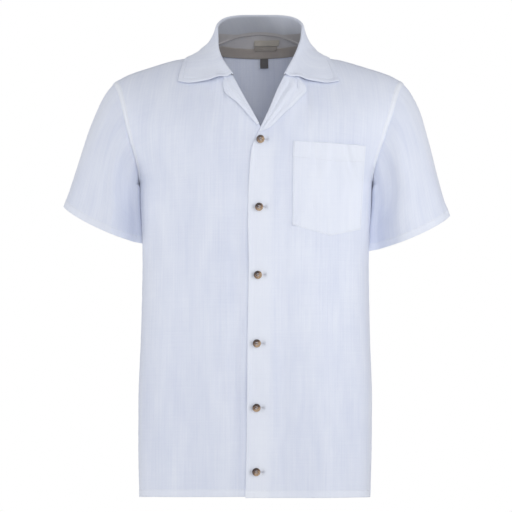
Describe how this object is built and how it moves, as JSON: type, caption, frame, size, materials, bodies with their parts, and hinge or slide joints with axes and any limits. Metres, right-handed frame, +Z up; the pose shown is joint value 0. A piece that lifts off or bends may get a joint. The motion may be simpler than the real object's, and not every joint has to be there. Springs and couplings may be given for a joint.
{
  "type": "bush shirt",
  "caption": "Short-sleeved linen bush shirt with an open camp collar, a chest patch pocket and a straight hem, filled out as it is when worn.",
  "frame": {"origin": "middle of the neck hole, level with the high shoulder points, where the wearer's shoulders hold the shirt up", "axes": "+Z up, from the hem to the collar; -Y out of the shirt's front; +X to the wearer's left"},
  "size_m": [0.6409, 0.24, 0.805],
  "materials": {
    "linen": "bluish-white slubby plain-weave linen",
    "facing_cloth": "stone-grey plain cloth",
    "tape": "grey-brown woven tape",
    "label": "blank woven label",
    "size_tab": "blank dark woven tab",
    "horn": "mottled brown horn"
  },
  "bodies": {
    "root": {"back_panel": "linen", "front_right": "linen", "front_left": "linen", "front_facing_right": "linen", "front_facing_left": "linen", "sleeve_right": "linen", "sleeve_left": "linen", "collar": "linen", "lapel_right": "linen", "lapel_left": "linen", "chest_pocket": "linen", "back_neck_facing": "facing_cloth", "neck_tape": "tape", "neck_label_upper": "label", "neck_label_lower": "label", "size_tab": "size_tab", "button_1": "horn", "button_2": "horn", "button_3": "horn", "button_4": "horn", "button_5": "horn", "button_6": "horn"}
  },
  "joints": []
}
